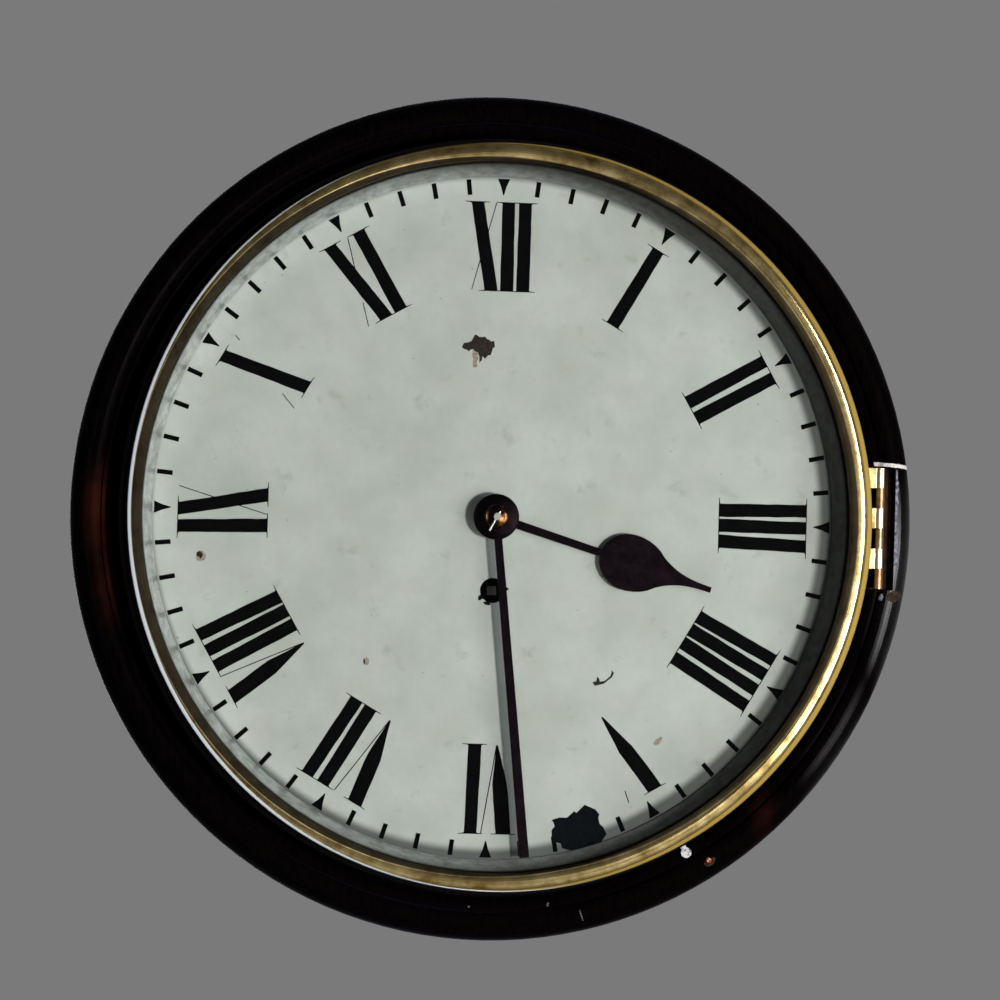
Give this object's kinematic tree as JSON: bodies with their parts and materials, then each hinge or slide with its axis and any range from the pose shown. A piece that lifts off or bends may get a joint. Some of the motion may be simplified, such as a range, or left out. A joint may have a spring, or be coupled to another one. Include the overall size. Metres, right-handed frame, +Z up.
{
  "type": "schoolhouse wall clock",
  "caption": "Round wooden wall clock with painted dial, hinged brass bezel, fusee works and short pendulum in a box behind.",
  "frame": {"origin": "on the wall, straight behind the centre of the dial", "axes": "+Z up, +X to the right as seen from the front, -Y out of the dial towards the viewer, +Y into the wall"},
  "size_m": [0.369, 0.1301, 0.369],
  "materials": {
    "case_wood": "old dark varnish",
    "peg_wood": "bare, hand cut",
    "surround_wood": "ebonised and polished",
    "bezel_brass": "spun, worn and toned",
    "old_brass": "dull, toned brown",
    "plate_brass": "grained",
    "wheel_brass": "turned and polished",
    "collet_brass": "toned, domed",
    "bob_brass": "polished, lacquered",
    "dial_paint": "old satin enamel paint",
    "silvered": "silvered, satin",
    "glass": "flat, clear",
    "blued_steel": "blued nearly black",
    "steel": "turned bright",
    "gut": "twisted gut line"
  },
  "bodies": {
    "case": {"back_board": "case_wood", "hanging_plate": "old_brass", "slotted_screws": "steel", "case_box": "case_wood", "case_pegs": "peg_wood", "surround_rails": "peg_wood", "door_hinges": "old_brass", "surround": "surround_wood", "dial": "dial_paint", "dial_feet": "plate_brass", "bezel_hinge": "old_brass", "bezel_pin": "old_brass", "back_plate": "plate_brass", "front_plate": "plate_brass", "pillars": "plate_brass", "barrel_arbor": "steel", "setup_ratchet": "steel", "setup_click": "steel", "gut_run": "gut", "back_cock": "plate_brass", "motion_bridge": "plate_brass"},
    "bezel": {"bezel": "bezel_brass", "sight_ring": "silvered", "glass": "glass", "bezel_hinge_leaf": "bezel_brass", "bezel_lug": "bezel_brass"},
    "side_door": {"side_door": "case_wood", "side_door_leaves": "old_brass"},
    "side_button": {"side_door_button": "old_brass"},
    "bottom_door": {"bottom_door": "case_wood", "bottom_door_leaves": "old_brass"},
    "bottom_button": {"bottom_door_button": "old_brass"},
    "centre": {"centre_arbor": "steel", "centre_wheel": "wheel_brass", "cannon_wheel": "wheel_brass", "minute_hand": "blued_steel", "hand_collet": "collet_brass", "taper_pin": "steel"},
    "hour": {"hour_wheel": "wheel_brass", "hour_hand": "blued_steel"},
    "minute_wheel": {"minute_wheel": "wheel_brass"},
    "third": {"third_arbor": "steel", "third_wheel": "wheel_brass"},
    "escape": {"escape_arbor": "steel", "escape_wheel": "wheel_brass"},
    "great": {"great_wheel": "wheel_brass"},
    "fusee": {"fusee": "wheel_brass", "fusee_arbor": "steel", "gut_on_fusee": "gut"},
    "barrel": {"barrel": "plate_brass", "barrel_cap": "plate_brass", "mainspring": "blued_steel", "gut_on_barrel": "gut"},
    "anchor": {"anchor": "steel", "crutch": "steel"},
    "pendulum": {"pendulum_rod": "steel", "suspension_spring": "blued_steel"},
    "bob": {"pendulum_bob": "bob_brass"},
    "nut": {"rating_nut": "bob_brass"},
    "stop": {"stop_lever": "steel"}
  },
  "joints": [
    {"name": "bezel_swing", "type": "hinge", "parent": "case", "child": "bezel", "pos_m": [0.1687, -0.117, 0], "axis": [0, 0, 1], "range_deg": [0, 100]},
    {"name": "side_door_swing", "type": "hinge", "parent": "case", "child": "side_door", "pos_m": [0.1071, -0.02, 0.005], "axis": [0, 0, 1], "range_deg": [0, 95]},
    {"name": "side_button_turn", "type": "hinge", "parent": "case", "child": "side_button", "pos_m": [0.105, -0.0805, 0.005], "axis": [-1, 0, 0], "range_deg": [0, 90]},
    {"name": "bottom_door_swing", "type": "hinge", "parent": "case", "child": "bottom_door", "pos_m": [0.05028, -0.0475, -0.15954], "axis": [0, -1, 0], "range_deg": [0, 90]},
    {"name": "bottom_button_turn", "type": "hinge", "parent": "case", "child": "bottom_button", "pos_m": [-0.05642, -0.043, -0.15353], "axis": [0.5373, 0, 0.8434], "range_deg": [0, 90]},
    {"name": "hands_turn", "type": "hinge", "parent": "case", "child": "centre", "pos_m": [0, -0.09, 0], "axis": [0, 1, 0], "continuous": true},
    {"name": "hour_turn", "type": "hinge", "parent": "case", "child": "hour", "pos_m": [0, -0.097, 0], "axis": [0, 1, 0], "continuous": true},
    {"name": "minute_wheel_turn", "type": "hinge", "parent": "case", "child": "minute_wheel", "pos_m": [0.01527, -0.092, 0.01527], "axis": [0, 1, 0], "continuous": true},
    {"name": "third_turn", "type": "hinge", "parent": "case", "child": "third", "pos_m": [0.01601, -0.064, 0.02179], "axis": [0, 1, 0], "continuous": true},
    {"name": "escape_turn", "type": "hinge", "parent": "case", "child": "escape", "pos_m": [0, -0.064, 0.03688], "axis": [0, 1, 0], "continuous": true},
    {"name": "great_turn", "type": "hinge", "parent": "case", "child": "great", "pos_m": [0, -0.046, -0.032], "axis": [0, 1, 0], "continuous": true},
    {"name": "barrel_turn", "type": "hinge", "parent": "case", "child": "barrel", "pos_m": [-0.052, -0.064, -0.052], "axis": [0, 1, 0], "continuous": true},
    {"name": "fusee_wind", "type": "hinge", "parent": "great", "child": "fusee", "pos_m": [0, -0.064, -0.032], "axis": [0, 1, 0], "range_deg": [0, 1440]},
    {"name": "pendulum_swing", "type": "hinge", "parent": "case", "child": "pendulum", "pos_m": [0, -0.024, 0.06092], "axis": [0, 1, 0], "range_deg": [-3, 3]},
    {"name": "anchor_rock", "type": "hinge", "parent": "case", "child": "anchor", "pos_m": [0, -0.064, 0.06092], "axis": [0, 1, 0], "range_deg": [-3, 3]},
    {"name": "bob_slide", "type": "slide", "parent": "pendulum", "child": "bob", "axis": [0, 0, 1], "range_m": [-0.0024, 0.0024]},
    {"name": "rating_nut_turn", "type": "hinge", "parent": "bob", "child": "nut", "pos_m": [0, -0.024, -0.149], "axis": [0, 0, 1], "range_deg": [-1080, 1080]},
    {"name": "stop_lever_rock", "type": "hinge", "parent": "case", "child": "stop", "pos_m": [0.034, -0.0794, -0.042], "axis": [0, 0, 1], "range_deg": [0, 5], "stiffness_Nm_per_rad": 0.01, "springref_deg": -5.73}
  ],
  "couplings": [
    {"joint": "hour_turn", "follows": "hands_turn", "ratio": 0.083333},
    {"joint": "minute_wheel_turn", "follows": "hands_turn", "ratio": -1},
    {"joint": "third_turn", "follows": "hands_turn", "ratio": -12},
    {"joint": "escape_turn", "follows": "hands_turn", "ratio": 120},
    {"joint": "great_turn", "follows": "hands_turn", "ratio": -0.083333},
    {"joint": "barrel_turn", "follows": "hands_turn", "ratio": -0.04303},
    {"joint": "anchor_rock", "follows": "pendulum_swing", "ratio": 1},
    {"joint": "rating_nut_turn", "follows": "bob_slide", "rad_per_m": 7854}
  ]
}
